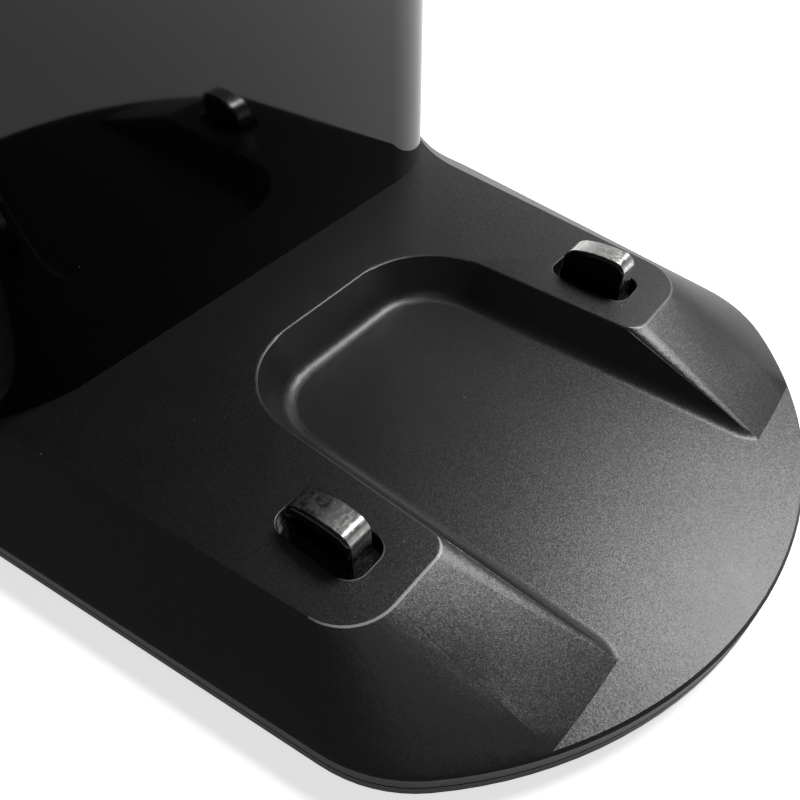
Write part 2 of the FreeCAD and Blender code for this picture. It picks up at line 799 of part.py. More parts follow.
for name, make in (
    ("contact_core", contact_core),
    ("contact_strip", contact_strip),
    ("contact_spring", contact_spring),
    ("contact_terminal", contact_terminal),
    ("contact_lead", contact_lead),
):
    right, left = both_sides(make())
    save(name + "_right", right)
    save(name + "_left", left)


# Mains inlet and its leads

def power_inlet():
    body = inlet_block(0.0, tower_depth - inlet_depth, tower_depth)
    body = body.fuse(inlet_block(inlet_flange, tower_depth - wall - inlet_flange, tower_depth - wall))
    mouth = V(0, tower_depth - socket_depth, inlet_z)
    lobe = rod(socket_radius, mouth + V(pin_pitch / 2, 0, 0), BACK, socket_depth)
    waist = block(
        -pin_pitch / 2, pin_pitch / 2, mouth.y, tower_depth,
        inlet_z - socket_waist / 2, inlet_z + socket_waist / 2)
    hole = rod(pin_radius + pin_gap, V(pin_pitch / 2, tower_depth - inlet_depth, inlet_z), BACK, inlet_depth)
    return body.cut(both_sides(lobe) + [waist] + both_sides(hole)).removeSplitter()


pin_front = tower_depth - inlet_depth - pin_tail
pin_length = inlet_depth + pin_tail - pin_setback
mains_z = board_low + boss_radius
mains_lead = tube([
    V(pin_pitch / 2, pin_front, inlet_z),
    V(pin_pitch / 2, pin_front - mains_drop - lead_radius, inlet_z),
    V(pin_pitch / 2, pin_front - mains_drop - lead_radius, mains_z),
    V(pin_pitch / 2, board_front, mains_z),
], lead_radius, mains_drop)

save("power_inlet", power_inlet())
save("inlet_pins", *both_sides(rod(pin_radius, V(pin_pitch / 2, pin_front, inlet_z), BACK, pin_length)))
save("mains_leads", *both_sides(mains_lead))


# Power board and what is soldered to it

def power_board():
    board = block(-board_half, board_half, board_front, board_back, board_low, board_low + board_tall)
    for x in (-board_screw_x, board_screw_x):
        for z in board_screw_z:
            board = board.cut(rod(screw_radius + hole_gap, V(x, board_front, z), BACK, board_thick))
    return board


def on_board(x, z, wide, tall, deep):
    """A block that stands on the power board's front face."""
    return block(x - wide / 2, x + wide / 2, board_front - deep, board_front, z - tall / 2, z + tall / 2)


def transformer(x, z):
    core = on_board(x, z, transformer_wide, transformer_tall, transformer_deep)
    window = on_board(x, z, transformer_wide - 2 * transformer_limb, transformer_tall, transformer_deep)
    end = V(x, board_front - transformer_deep + bobbin_inset, z)
    winding = rod(winding_radius, end, BACK, transformer_deep - 2 * bobbin_inset)
    return core.cut(window).fuse(winding).removeSplitter()


def capacitor(x, z, radius, length):
    can = rod(radius, V(x, board_front - length, z), BACK, length)
    crimp = [e for e in can.Edges if abs(e.CenterOfMass.y - can.BoundBox.YMin) < tiny]
    return can.makeFillet(can_round, crimp)


board_middle = board_low + board_tall / 2

save("power_board", power_board())
save("transformer", transformer(0.0, board_middle + transformer_lift))
bulk_x = -(board_half + bulk_radius) / 2
choke_z = board_low + part_margin + choke_size / 2
bulk_z = choke_z + choke_size / 2 + part_margin + bulk_radius
save("bulk_capacitor", capacitor(bulk_x, bulk_z, bulk_radius, bulk_length))
output_x = board_half / 2 + output_radius
output_z = output_radius + output_gap / 2
save("output_capacitors", *[
    capacitor(output_x, board_middle + z, output_radius, output_length) for z in (-output_z, output_z)])
save("line_choke", on_board(bulk_x, choke_z, choke_size, choke_size, choke_size))
bridge_x = (board_half - bridge_wide) / 2
bridge_z = board_low + part_margin + bridge_wide / 2
save("bridge_rectifier", on_board(bridge_x, bridge_z, bridge_wide, bridge_wide, bridge_thick))
save("fuse", on_board(-pin_pitch / 2 - fuse_out, mains_z, fuse_wide, fuse_tall, fuse_deep))


# Signal board behind the glossy front

def signal_board():
    board = block(-signal_half, signal_half, signal_front, signal_back, signal_low, signal_low + signal_tall)
    hole = rod(screw_radius + hole_gap, V(signal_screw_x, signal_front, signal_screw_z), BACK, board_thick)
    return board.cut(both_sides(hole))


def emitter(x):
    """A round lamp with a domed nose, facing forward."""
    z = signal_low + signal_tall / 2
    stem = emitter_length - emitter_radius
    barrel = rod(emitter_radius, V(x, signal_front - stem, z), BACK, stem)
    dome = Part.makeSphere(emitter_radius, V(x, signal_front - stem, z), -BACK, 0, 90, 360)
    return barrel.fuse(dome).removeSplitter()


status_z = signal_low + signal_tall - status_size
status_top = status_z + status_size / 2
pipe_low = status_top + clear
ribbon_x = transformer_wide / 2 + ribbon_wide
ribbon_z = signal_low + signal_tall - status_size

save("signal_board", signal_board())
save("infrared_emitters", *[emitter(x) for x in (-emitter_pitch / 2, 0.0, emitter_pitch / 2)])
save("status_led", block(
    -status_size / 2, status_size / 2, signal_front - status_size, signal_front,
    status_z - status_size / 2, status_top))
pipe = pipe_block(0.0, pipe_low, height).fuse(
    pipe_block(pipe_flange, height - wall - pipe_flange, height - wall)).removeSplitter()
save("light_pipe", pipe)
save("signal_lead", block(
    ribbon_x - ribbon_wide / 2, ribbon_x + ribbon_wide / 2, signal_back, board_front,
    ribbon_z - ribbon_thick / 2, ribbon_z + ribbon_thick / 2))

board_screws = [
    pan_screw(V(x, board_front, z), BACK, board_screw_length - clear)
    for x in (-board_screw_x, board_screw_x) for z in board_screw_z]
board_screws += [
    pan_screw(V(x, signal_back, signal_screw_z), -BACK, board_screw_length)
    for x in (-signal_screw_x, signal_screw_x)]
save("board_screws", *board_screws)
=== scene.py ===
import json
import math

import bmesh
import bpy
from mathutils import Matrix, Vector


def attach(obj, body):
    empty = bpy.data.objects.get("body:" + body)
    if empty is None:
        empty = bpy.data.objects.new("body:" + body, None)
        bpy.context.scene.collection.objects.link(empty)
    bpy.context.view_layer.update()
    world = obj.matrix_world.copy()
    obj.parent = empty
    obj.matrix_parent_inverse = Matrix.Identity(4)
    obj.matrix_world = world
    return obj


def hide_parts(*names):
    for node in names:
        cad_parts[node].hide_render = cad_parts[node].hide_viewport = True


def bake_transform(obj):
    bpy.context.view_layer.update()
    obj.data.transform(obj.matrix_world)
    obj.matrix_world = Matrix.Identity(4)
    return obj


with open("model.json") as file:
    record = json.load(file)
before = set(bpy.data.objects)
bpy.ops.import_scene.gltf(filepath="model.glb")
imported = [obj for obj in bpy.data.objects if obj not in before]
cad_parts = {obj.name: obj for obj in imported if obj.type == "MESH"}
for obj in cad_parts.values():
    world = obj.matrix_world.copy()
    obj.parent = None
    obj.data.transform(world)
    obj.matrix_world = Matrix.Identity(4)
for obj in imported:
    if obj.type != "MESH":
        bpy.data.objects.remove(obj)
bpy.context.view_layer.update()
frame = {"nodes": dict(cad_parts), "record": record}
nodes = frame["nodes"]
print("frame loaded:", len(nodes), "nodes")


# Helpers for shader trees

def place(tree, kind, settings=None, **values):
    node = tree.nodes.new("ShaderNode" + kind)
    for key, value in (settings or {}).items():
        setattr(node, key, value)
    for key, value in values.items():
        node.inputs[key.replace("_", " ")].default_value = value
    return node


def newGroup(name, inputs, outputs):
    group = bpy.data.node_groups.new(name, "ShaderNodeTree")
    for label, value in inputs.items():
        kind = "NodeSocketVector" if value is None else "NodeSocketFloat"
        socket = group.interface.new_socket(label, in_out="INPUT", socket_type=kind)
        if value is not None:
            socket.default_value = value
    for label, kind in outputs.items():
        group.interface.new_socket(label, in_out="OUTPUT", socket_type="NodeSocket" + kind)
    entry = group.nodes.new("NodeGroupInput")
    leave = group.nodes.new("NodeGroupOutput")
    return group, entry, leave


def remap(tree, source, low, high, toLow=0.0, toHigh=1.0):
    node = place(tree, "MapRange", From_Min=low, From_Max=high, To_Min=toLow, To_Max=toHigh)
    tree.links.new(source, node.inputs["Value"])
    return node.outputs["Result"]


def maths(tree, operation, a, b):
    node = place(tree, "Math", {"operation": operation})
    for socket, value in zip(node.inputs, (a, b)):
        if isinstance(value, (int, float)):
            socket.default_value = value
        else:
            tree.links.new(value, socket)
    return node.outputs[0]


# Effects that several finishes share

# spark-eroded mould texture: fine pits, tiny tilted facets, coarser mottling
grainLook = {
    "fineDetail": 2.0, "broadDetail": 4.0, "roughness": 0.6,
    "pitReach": 0.9, "fineShare": 0.6, "pitShare": 0.4,
    "speckle": (0.42, 0.68), "mottle": (0.3, 0.7),
}


def buildGrain():
    group, entry, leave = newGroup(
        "mouldGrain", {"Vector": None, "Grain Scale": 2600.0, "Mottle Scale": 90.0},
        {"Height": "Float", "Speckle": "Float", "Mottle": "Float", "Facet": "Vector"})
    links = group.links
    fine = place(group, "TexNoise", Detail=grainLook["fineDetail"], Roughness=grainLook["roughness"])
    pits = place(group, "TexVoronoi", {"feature": "F1"})
    broad = place(group, "TexNoise", Detail=grainLook["broadDetail"], Roughness=grainLook["roughness"])
    for node, label in ((fine, "Grain Scale"), (pits, "Grain Scale"), (broad, "Mottle Scale")):
        links.new(entry.outputs["Vector"], node.inputs["Vector"])
        links.new(entry.outputs[label], node.inputs["Scale"])
    pitDepth = remap(group, pits.outputs["Distance"], 0.0, grainLook["pitReach"])
    height = maths(group, "ADD",
                   maths(group, "MULTIPLY", fine.outputs["Fac"], grainLook["fineShare"]),
                   maths(group, "MULTIPLY", pitDepth, grainLook["pitShare"]))
    links.new(height, leave.inputs["Height"])
    links.new(remap(group, fine.outputs["Fac"], *grainLook["speckle"]), leave.inputs["Speckle"])
    links.new(remap(group, broad.outputs["Fac"], *grainLook["mottle"]), leave.inputs["Mottle"])
    centred = place(group, "VectorMath", {"operation": "SUBTRACT"})
    centred.inputs[1].default_value = (0.5, 0.5, 0.5)
    links.new(pits.outputs["Color"], centred.inputs[0])
    links.new(centred.outputs["Vector"], leave.inputs["Facet"])
    return group


# lone pale specks, with most of the surface clean
dustLook = {"patchScale": 45.0, "patchDetail": 2.0, "patch": (0.5, 0.62), "dulls": 0.4}


def buildDust():
    group, entry, leave = newGroup(
        "dustSpecks", {"Vector": None, "Speck Scale": 160.0, "Speck Size": 0.06}, {"Mask": "Float"})
    links = group.links
    cells = place(group, "TexVoronoi", {"feature": "F1"}, Randomness=1.0)
    patch = place(group, "TexNoise", Scale=dustLook["patchScale"], Detail=dustLook["patchDetail"])
    links.new(entry.outputs["Vector"], cells.inputs["Vector"])
    links.new(entry.outputs["Speck Scale"], cells.inputs["Scale"])
    links.new(entry.outputs["Vector"], patch.inputs["Vector"])
    inside = maths(group, "LESS_THAN", cells.outputs["Distance"], entry.outputs["Speck Size"])
    here = remap(group, patch.outputs["Fac"], *dustLook["patch"])
    links.new(maths(group, "MULTIPLY", inside, here), leave.inputs["Mask"])
    return group


# hair-thin lines, from a noise that is stretched along one or two axes
scratchLook = {"detail": 3.0, "roughness": 0.7, "lines": (0.52, 0.68)}


def buildScratches():
    group, entry, leave = newGroup(
        "hairScratches",
        {"Vector": None, "Line Scale": 2600.0, "Along X": 1.0, "Along Y": 1.0, "Along Z": 1.0},
        {"Mask": "Float", "Height": "Float"})
    links = group.links
    parts = place(group, "SeparateXYZ")
    joined = place(group, "CombineXYZ")
    lines = place(group, "TexNoise", Detail=scratchLook["detail"], Roughness=scratchLook["roughness"])
    links.new(entry.outputs["Vector"], parts.inputs["Vector"])
    for axis in "XYZ":
        drawn = maths(group, "MULTIPLY", parts.outputs[axis], entry.outputs["Along " + axis])
        links.new(drawn, joined.inputs[axis])
    links.new(joined.outputs["Vector"], lines.inputs["Vector"])
    links.new(entry.outputs["Line Scale"], lines.inputs["Scale"])
    links.new(remap(group, lines.outputs["Fac"], *scratchLook["lines"]), leave.inputs["Mask"])
    links.new(lines.outputs["Fac"], leave.inputs["Height"])
    return group


grainGroup = buildGrain()
dustGroup = buildDust()
scratchGroup = buildScratches()
print("shared effects built")


def startMaterial(name):
    material = bpy.data.materials.new(name)
    material.use_nodes = True
    tree = material.node_tree
    shader = tree.nodes["Principled BSDF"]
    coords = tree.nodes.new("ShaderNodeTexCoord")
    return material, tree, shader, coords.outputs["Object"]


def useGroup(tree, group, vector, **values):
    node = tree.nodes.new("ShaderNodeGroup")
    node.node_tree = group
    tree.links.new(vector, node.inputs["Vector"])
    for key, value in values.items():
        node.inputs[key.replace("_", " ")].default_value = value
    return node


def colourMix(tree, factor, dark, light):
    mix = tree.nodes.new("ShaderNodeMix")
    mix.data_type = "RGBA"
    a, b = [s for s in mix.inputs if s.type == "RGBA"]
    factorSocket = [s for s in mix.inputs if s.type == "VALUE"][0]
    tree.links.new(factor, factorSocket)
    for socket, colour in ((a, dark), (b, light)):
        if isinstance(colour, tuple):
            socket.default_value = (*colour, 1.0)
        else:
            tree.links.new(colour, socket)
    return [s for s in mix.outputs if s.type == "RGBA"][0]


def bump(tree, shader, height, strength, distance):
    node = place(tree, "Bump", Strength=strength, Distance=distance)
    tree.links.new(height, node.inputs["Height"])
    tree.links.new(node.outputs["Normal"], shader.inputs["Normal"])
    return node


# Moulded plastics

def tiltFacets(tree, facet, amount):
    surface = place(tree, "NewGeometry")
    scaled = place(tree, "VectorMath", {"operation": "SCALE"})
    if isinstance(amount, float):
        scaled.inputs["Scale"].default_value = amount
    else:
        tree.links.new(amount, scaled.inputs["Scale"])
    leaning = place(tree, "VectorMath", {"operation": "ADD"})
    unit = place(tree, "VectorMath", {"operation": "NORMALIZE"})
    tree.links.new(facet, scaled.inputs[0])
    tree.links.new(surface.outputs["Normal"], leaning.inputs[0])
    tree.links.new(scaled.outputs["Vector"], leaning.inputs[1])
    tree.links.new(leaning.outputs["Vector"], unit.inputs[0])
    return unit.outputs["Vector"]


def mouldedPlastic(name, look):
    material, tree, shader, vector = startMaterial(name)
    grain = useGroup(tree, grainGroup, vector,
                     Grain_Scale=look["grainScale"], Mottle_Scale=look["mottleScale"])
    dust = useGroup(tree, dustGroup, vector,
                    Speck_Scale=look["speckScale"], Speck_Size=look["speckSize"])
    body = colourMix(tree, grain.outputs["Speckle"], look["dark"], look["light"])
    colour = colourMix(tree, dust.outputs["Mask"], body, look["dust"])
    rough = remap(tree, grain.outputs["Mottle"], 0.0, 1.0, look["roughLow"], look["roughHigh"])
    tilt = look["facetTilt"]
    # crest edges: the colour mixes to a pale grey, a painted highlight standing in for the light these
    # edges catch, partly edge wear; roughness drops and the facet tilt fades there as well
    if "rubbedHighlight" in look:
        wearAndHighlight = place(tree, "Attribute", {"attribute_name": "wornEdgeHighlight"}).outputs["Fac"]
        colour = colourMix(tree, wearAndHighlight, colour, look["rubbedHighlight"])
        rough = maths(tree, "SUBTRACT", rough, maths(tree, "MULTIPLY", wearAndHighlight, look["edgePolish"]))
        tilt = remap(tree, wearAndHighlight, 0.0, 1.0, tilt, 0.0)
    tree.links.new(colour, shader.inputs["Base Color"])
    tree.links.new(rough, shader.inputs["Roughness"])
    shader.inputs["Specular IOR Level"].default_value = look["specular"]
    relief = bump(tree, shader, grain.outputs["Height"], look["bumpStrength"], look["bumpDistance"])
    tree.links.new(tiltFacets(tree, grain.outputs["Facet"], tilt), relief.inputs["Normal"])
    return material


basePlastic = mouldedPlastic("base_plastic", {
    "dark": (0.003, 0.003, 0.0032), "light": (0.0105, 0.0105, 0.011), "dust": (0.22, 0.215, 0.21),
    "grainScale": 5200.0, "mottleScale": 60.0, "speckScale": 240.0, "speckSize": 0.03,
    "roughLow": 0.36, "roughHigh": 0.39, "specular": 0.5, "facetTilt": 0.085,
    # painted highlight: pale grey mixed onto the crest edges, partly edge wear
    "rubbedHighlight": (0.32, 0.32, 0.32), "edgePolish": 0.04,
    "bumpStrength": 0.12, "bumpDistance": 0.0001})
trayPlastic = mouldedPlastic("tray_plastic", {
    "dark": (0.02, 0.02, 0.0205), "light": (0.036, 0.036, 0.0365), "dust": (0.2, 0.2, 0.195),
    "grainScale": 2800.0, "mottleScale": 60.0, "speckScale": 240.0, "speckSize": 0.03,
    "roughLow": 0.38, "roughHigh": 0.46, "specular": 0.5, "facetTilt": 0.085,
    "bumpStrength": 0.15, "bumpDistance": 0.00008})
componentPlastic = mouldedPlastic("component_black", {
    "dark": (0.03, 0.03, 0.033), "light": (0.055, 0.055, 0.06), "dust": (0.2, 0.2, 0.2),
    "grainScale": 2200.0, "mottleScale": 150.0, "speckScale": 200.0, "speckSize": 0.02,
    "roughLow": 0.4, "roughHigh": 0.55, "specular": 0.45, "facetTilt": 0.15,
    "bumpStrength": 0.3, "bumpDistance": 0.00008})
footRubber = mouldedPlastic("foot_rubber", {
    "dark": (0.035, 0.035, 0.035), "light": (0.06, 0.06, 0.06), "dust": (0.3, 0.29, 0.27),
    "grainScale": 1500.0, "mottleScale": 200.0, "speckScale": 300.0, "speckSize": 0.05,
    "roughLow": 0.75, "roughHigh": 0.92, "specular": 0.3, "facetTilt": 0.1,
    "bumpStrength": 0.6, "bumpDistance": 0.0001})


def polishedPlastic(name, look):
    material, tree, shader, vector = startMaterial(name)
    grain = useGroup(tree, grainGroup, vector,
                     Grain_Scale=look["rippleScale"], Mottle_Scale=look["mottleScale"])
    dust = useGroup(tree, dustGroup, vector,
                    Speck_Scale=look["speckScale"], Speck_Size=look["speckSize"])
    body = colourMix(tree, grain.outputs["Mottle"], look["dark"], look["light"])
    colour = colourMix(tree, dust.outputs["Mask"], body, look["dust"])
    tree.links.new(colour, shader.inputs["Base Color"])
    smear = remap(tree, grain.outputs["Mottle"], 0.0, 1.0, look["roughLow"], look["roughHigh"])
    rough = maths(tree, "ADD", smear, maths(tree, "MULTIPLY", dust.outputs["Mask"], dustLook["dulls"]))
    tree.links.new(rough, shader.inputs["Roughness"])
    shader.inputs["IOR"].default_value = look["ior"]
    bump(tree, shader, grain.outputs["Height"], look["bumpStrength"], look["bumpDistance"])
    return material


towerGloss = polishedPlastic("tower_gloss", {
    "dark": (0.0006, 0.0006, 0.0007), "light": (0.0012, 0.0012, 0.0013), "dust": (0.2, 0.2, 0.2),
    "rippleScale": 220.0, "mottleScale": 18.0, "speckScale": 150.0, "speckSize": 0.02,
    "roughLow": 0.03, "roughHigh": 0.07, "ior": 1.5,
    "bumpStrength": 0.02, "bumpDistance": 0.00004})
carrierGloss = polishedPlastic("contact_plastic", {
    "dark": (0.0015, 0.0015, 0.0016), "light": (0.003, 0.003, 0.0032), "dust": (0.15, 0.15, 0.15),
    "rippleScale": 700.0, "mottleScale": 120.0, "speckScale": 400.0, "speckSize": 0.03,
    "roughLow": 0.08, "roughHigh": 0.16, "ior": 1.5,
    "bumpStrength": 0.05, "bumpDistance": 0.00003})
emitterLens = polishedPlastic("emitter_lens", {
    "dark": (0.05, 0.04, 0.06), "light": (0.1, 0.08, 0.11), "dust": (0.2, 0.2, 0.2),
    "rippleScale": 500.0, "mottleScale": 200.0, "speckScale": 500.0, "speckSize": 0.02,
    "roughLow": 0.05, "roughHigh": 0.12, "ior": 1.5,
    "bumpStrength": 0.03, "bumpDistance": 0.00003})
frostedClear = polishedPlastic("pipe_clear", {
    "dark": (0.62, 0.63, 0.64), "light": (0.8, 0.81, 0.82), "dust": (0.4, 0.4, 0.38),
    "rippleScale": 900.0, "mottleScale": 260.0, "speckScale": 500.0, "speckSize": 0.02,
    "roughLow": 0.35, "roughHigh": 0.5, "ior": 1.49,
    "bumpStrength": 0.15, "bumpDistance": 0.00004})
leadSheath = {
    "rippleScale": 900.0, "mottleScale": 300.0, "speckScale": 500.0, "speckSize": 0.02,
    "roughLow": 0.4, "roughHigh": 0.55, "ior": 1.48,
    "bumpStrength": 0.15, "bumpDistance": 0.00005}
leadBlack = polishedPlastic("lead_black", {
    **leadSheath, "dark": (0.02, 0.02, 0.02), "light": (0.04, 0.04, 0.04), "dust": (0.2, 0.2, 0.2)})
leadRed = polishedPlastic("lead_red", {
    **leadSheath, "dark": (0.36, 0.02, 0.02), "light": (0.5, 0.04, 0.035), "dust": (0.3, 0.2, 0.2)})
leadWhite = polishedPlastic("lead_white", {
    **leadSheath, "dark": (0.7, 0.7, 0.67), "light": (0.82, 0.82, 0.8), "dust": (0.35, 0.34, 0.3),
    "speckSize": 0.03})
print("plastics made")


# Metals

def workedMetal(name, look):
    material, tree, shader, vector = startMaterial(name)
    alongX, alongY, alongZ = look["stretch"]
    marks = useGroup(tree, scratchGroup, vector, Line_Scale=look["lineScale"],
                     Along_X=alongX, Along_Y=alongY, Along_Z=alongZ)
    grain = useGroup(tree, grainGroup, vector,
                     Grain_Scale=look["grainScale"], Mottle_Scale=look["mottleScale"])
    scuffed = colourMix(tree, marks.outputs["Mask"], look["colour"], look["scuff"])
    tree.links.new(colourMix(tree, grain.outputs["Mottle"], scuffed, look["tarnish"]),
                   shader.inputs["Base Color"])
    rough = maths(tree, "ADD",
                  remap(tree, grain.outputs["Mottle"], 0.0, 1.0, look["roughLow"], look["roughHigh"]),
                  maths(tree, "MULTIPLY", marks.outputs["Mask"], look["markRough"]))
    tree.links.new(rough, shader.inputs["Roughness"])
    shader.inputs["Metallic"].default_value = 1.0
    bump(tree, shader, marks.outputs["Height"], look["bumpStrength"], look["bumpDistance"])
    return material


contactMetal = workedMetal("contact_metal", {
    "colour": (0.76, 0.75, 0.73), "scuff": (0.34, 0.335, 0.33), "tarnish": (0.5, 0.495, 0.485),
    "lineScale": 2600.0, "stretch": (0.05, 1.0, 1.0), "grainScale": 1500.0, "mottleScale": 900.0,
    "roughLow": 0.12, "roughHigh": 0.36, "markRough": 0.08,
    "bumpStrength": 0.25, "bumpDistance": 0.00005})
springSteel = workedMetal("spring_steel", {
    "colour": (0.62, 0.62, 0.62), "scuff": (0.45, 0.45, 0.46), "tarnish": (0.55, 0.55, 0.56),
    "lineScale": 5000.0, "stretch": (1.0, 0.1, 0.1), "grainScale": 2500.0, "mottleScale": 500.0,
    "roughLow": 0.24, "roughHigh": 0.34, "markRough": 0.1,
    "bumpStrength": 0.12, "bumpDistance": 0.00003})
terminalBrass = workedMetal("terminal_brass", {
    "colour": (0.76, 0.6, 0.3), "scuff": (0.6, 0.46, 0.22), "tarnish": (0.66, 0.5, 0.24),
    "lineScale": 2500.0, "stretch": (1.0, 0.05, 0.05), "grainScale": 1800.0, "mottleScale": 300.0,
    "roughLow": 0.25, "roughHigh": 0.38, "markRough": 0.12,
    "bumpStrength": 0.15, "bumpDistance": 0.00004})
pinMetal = workedMetal("pin_metal", {
    "colour": (0.74, 0.68, 0.55), "scuff": (0.55, 0.5, 0.4), "tarnish": (0.66, 0.6, 0.46),
    "lineScale": 3000.0, "stretch": (1.0, 0.03, 0.03), "grainScale": 1800.0, "mottleScale": 300.0,
    "roughLow": 0.18, "roughHigh": 0.28, "markRough": 0.12,
    "bumpStrength": 0.12, "bumpDistance": 0.00003})
screwSteel = workedMetal("screw_steel", {
    "colour": (0.13, 0.13, 0.135), "scuff": (0.3, 0.3, 0.3), "tarnish": (0.09, 0.09, 0.09),
    "lineScale": 2200.0, "stretch": (1.0, 0.2, 0.2), "grainScale": 2600.0, "mottleScale": 400.0,
    "roughLow": 0.3, "roughHigh": 0.45, "markRough": 0.1,
    "bumpStrength": 0.15, "bumpDistance": 0.00004})
print("metals made")


# Boards and what is soldered to them

def solderMask(look):
    material, tree, shader, vector = startMaterial("board_green")
    grain = useGroup(tree, grainGroup, vector,
                     Grain_Scale=look["grainScale"], Mottle_Scale=look["mottleScale"])
    turn = place(tree, "Mapping", Rotation=(math.radians(90.0), 0.0, 0.0))    # boards stand upright
    tracks = place(tree, "TexBrick", {"offset": look["trackOffset"], "squash": look["trackSquash"]},
                   Scale=look["trackScale"], Mortar_Size=look["trackWidth"],
                   Mortar_Smooth=look["trackSoft"],
                   Brick_Width=look["fieldLong"], Row_Height=look["fieldWide"])
    tree.links.new(vector, turn.inputs["Vector"])
    tree.links.new(turn.outputs["Vector"], tracks.inputs["Vector"])
    body = colourMix(tree, tracks.outputs["Fac"], look["mask"], look["track"])
    colour = colourMix(tree, grain.outputs["Speckle"], body, look["mask"])
    tree.links.new(colour, shader.inputs["Base Color"])
    rough = remap(tree, grain.outputs["Mottle"], 0.0, 1.0, look["roughLow"], look["roughHigh"])
    tree.links.new(rough, shader.inputs["Roughness"])
    bump(tree, shader, tracks.outputs["Fac"], look["bumpStrength"], look["bumpDistance"])
    return material


boardGreen = solderMask({
    "mask": (0.02, 0.13, 0.05), "track": (0.05, 0.24, 0.1), "trackScale": 160.0, "trackWidth": 0.05,
    "trackSoft": 0.1, "trackOffset": 0.37, "trackSquash": 1.6, "fieldLong": 0.9, "fieldWide": 0.32,
    "grainScale": 1800.0, "mottleScale": 120.0, "roughLow": 0.28, "roughHigh": 0.4,
    "bumpStrength": 0.3, "bumpDistance": 0.00004})
ferrite = mouldedPlastic("transformer_core", {
    "dark": (0.07, 0.066, 0.062), "light": (0.13, 0.12, 0.115), "dust": (0.2, 0.19, 0.18),
    "grainScale": 1400.0, "mottleScale": 180.0, "speckScale": 260.0, "speckSize": 0.04,
    "roughLow": 0.5, "roughHigh": 0.7, "specular": 0.4, "facetTilt": 0.15,
    "bumpStrength": 0.5, "bumpDistance": 0.0001})
sleeve = polishedPlastic("capacitor_sleeve", {
    "dark": (0.03, 0.04, 0.1), "light": (0.05, 0.065, 0.15), "dust": (0.2, 0.2, 0.22),
    "rippleScale": 400.0, "mottleScale": 150.0, "speckScale": 300.0, "speckSize": 0.03,
    "roughLow": 0.25, "roughHigh": 0.4, "ior": 1.48,
    "bumpStrength": 0.2, "bumpDistance": 0.00006})
lampLens = polishedPlastic("lamp_lens", {
    "dark": (0.78, 0.78, 0.74), "light": (0.88, 0.88, 0.85), "dust": (0.5, 0.5, 0.48),
    "rippleScale": 900.0, "mottleScale": 300.0, "speckScale": 600.0, "speckSize": 0.02,
    "roughLow": 0.25, "roughHigh": 0.4, "ior": 1.5,
    "bumpStrength": 0.1, "bumpDistance": 0.00003})

finishes = {
    "base_plastic": basePlastic, "tower_gloss": towerGloss, "contact_metal": contactMetal,
    "contact_plastic": carrierGloss, "spring_steel": springSteel, "terminal_brass": terminalBrass,
    "lead_red": leadRed, "lead_black": leadBlack, "lead_white": leadWhite, "board_green": boardGreen,
    "component_black": componentPlastic, "transformer_core": ferrite, "capacitor_sleeve": sleeve,
    "emitter_lens": emitterLens, "lamp_lens": lampLens, "pipe_clear": frostedClear,
    "pin_metal": pinMetal, "foot_rubber": footRubber, "screw_steel": screwSteel,
}
slotOf = {row["node"]: row["material_slot"] for row in frame["record"]["subparts"]}
for name, node in nodes.items():
    node.data.materials.clear()
    node.data.materials.append(finishes[slotOf[name]])
nodes["bottom_tray"].data.materials[0] = trayPlastic
print("finishes on", len(nodes), "nodes")


# Smooth shells over the pieces that show

shells = {
    "mergeDistance": 1e-6, "baseSliver": 2e-5, "evenWeight": 50,
    "creaseAngle": math.radians(32.0),    # sharper than this always shows as an edge
    "foldAngle": math.radians(11.0),      # and from here on between two broad faces
    "flatAngle": math.radians(3.0),       # one patch as long as it bends less
    "broad": 0.0018,                      # least mean width of a broad patch
    "edgeStrip": 0.0008,                  # faces narrower than this are softened edges
    "wearHighlightFrom": 0.01502,                  # edge wear and painted highlight above this height, from here on towards the front, in full from here, and only so far on the right pad, where the edge catches less light
    "wearHighlightBack": 0.0252,                   # from here on towards the front,
    "wearHighlightFront": 0.031,                   # in full from here,
    "wearHighlightRight": 0.4,                     # and only so far on the right pad
    "names": {
        "base_cover": "base_shell", "bottom_tray": "tray_shell", "tower_hood": "tower_shell",
        "rear_cover": "rear_panel", "power_inlet": "inlet_shell", "light_pipe": "lamp_window",
        "rubber_feet": "foot_pads",
        "contact_core_left": "carrier_left", "contact_core_right": "carrier_right",
        "contact_strip_left": "strip_left", "contact_strip_right": "strip_right",
        "contact_spring_left": "coil_left", "contact_spring_right": "coil_right",
    },
}
# springs, with the contact at each one's head; their shells are baked in place instead of riding a
# body
springHeads = {"contact_spring_left": "contact_left", "contact_spring_right": "contact_right"}


def bodyOf(nodeName):
    for body, members in frame["record"]["behaviour"]["bodies"].items():
        if nodeName in members:
            return body


# The fold between each ramp and the corner slope beside it, eased into a soft turn
corners = {
    "sideFrom": 0.026, "frontFrom": -0.024, "highest": 0.01498,    # where the slopes lie
    "steepest": 0.72, "flattest": 0.985,                           # their normals' upright part
    "footFrom": 0.0071, "footTop": 0.0085, "fullFrom": 0.0115,     # heights: strip, start, full turn
    "cutsAcross": 7, "cutWidth": 0.0013, "cutsAlong": 14, "cutLength": 0.002,
    "foldAt": 0.0447, "foldTop": -0.0348, "foldRun": 0.028,
    "turn": 0.21, "reach": 0.009,
}


def slopeFaces(shape, lowest):
    chosen = []
    for face in shape.faces:
        centre = face.calc_center_median()
        inFront = abs(centre.x) > corners["sideFrom"] and centre.y < corners["frontFrom"]
        onSlope = corners["steepest"] < face.normal.z < corners["flattest"]
        if inFront and onSlope and lowest < centre.z < corners["highest"]:
            chosen.append(face)
    return chosen


def share(value, low, high):
    return min(max((value - low) / (high - low), 0.0), 1.0)


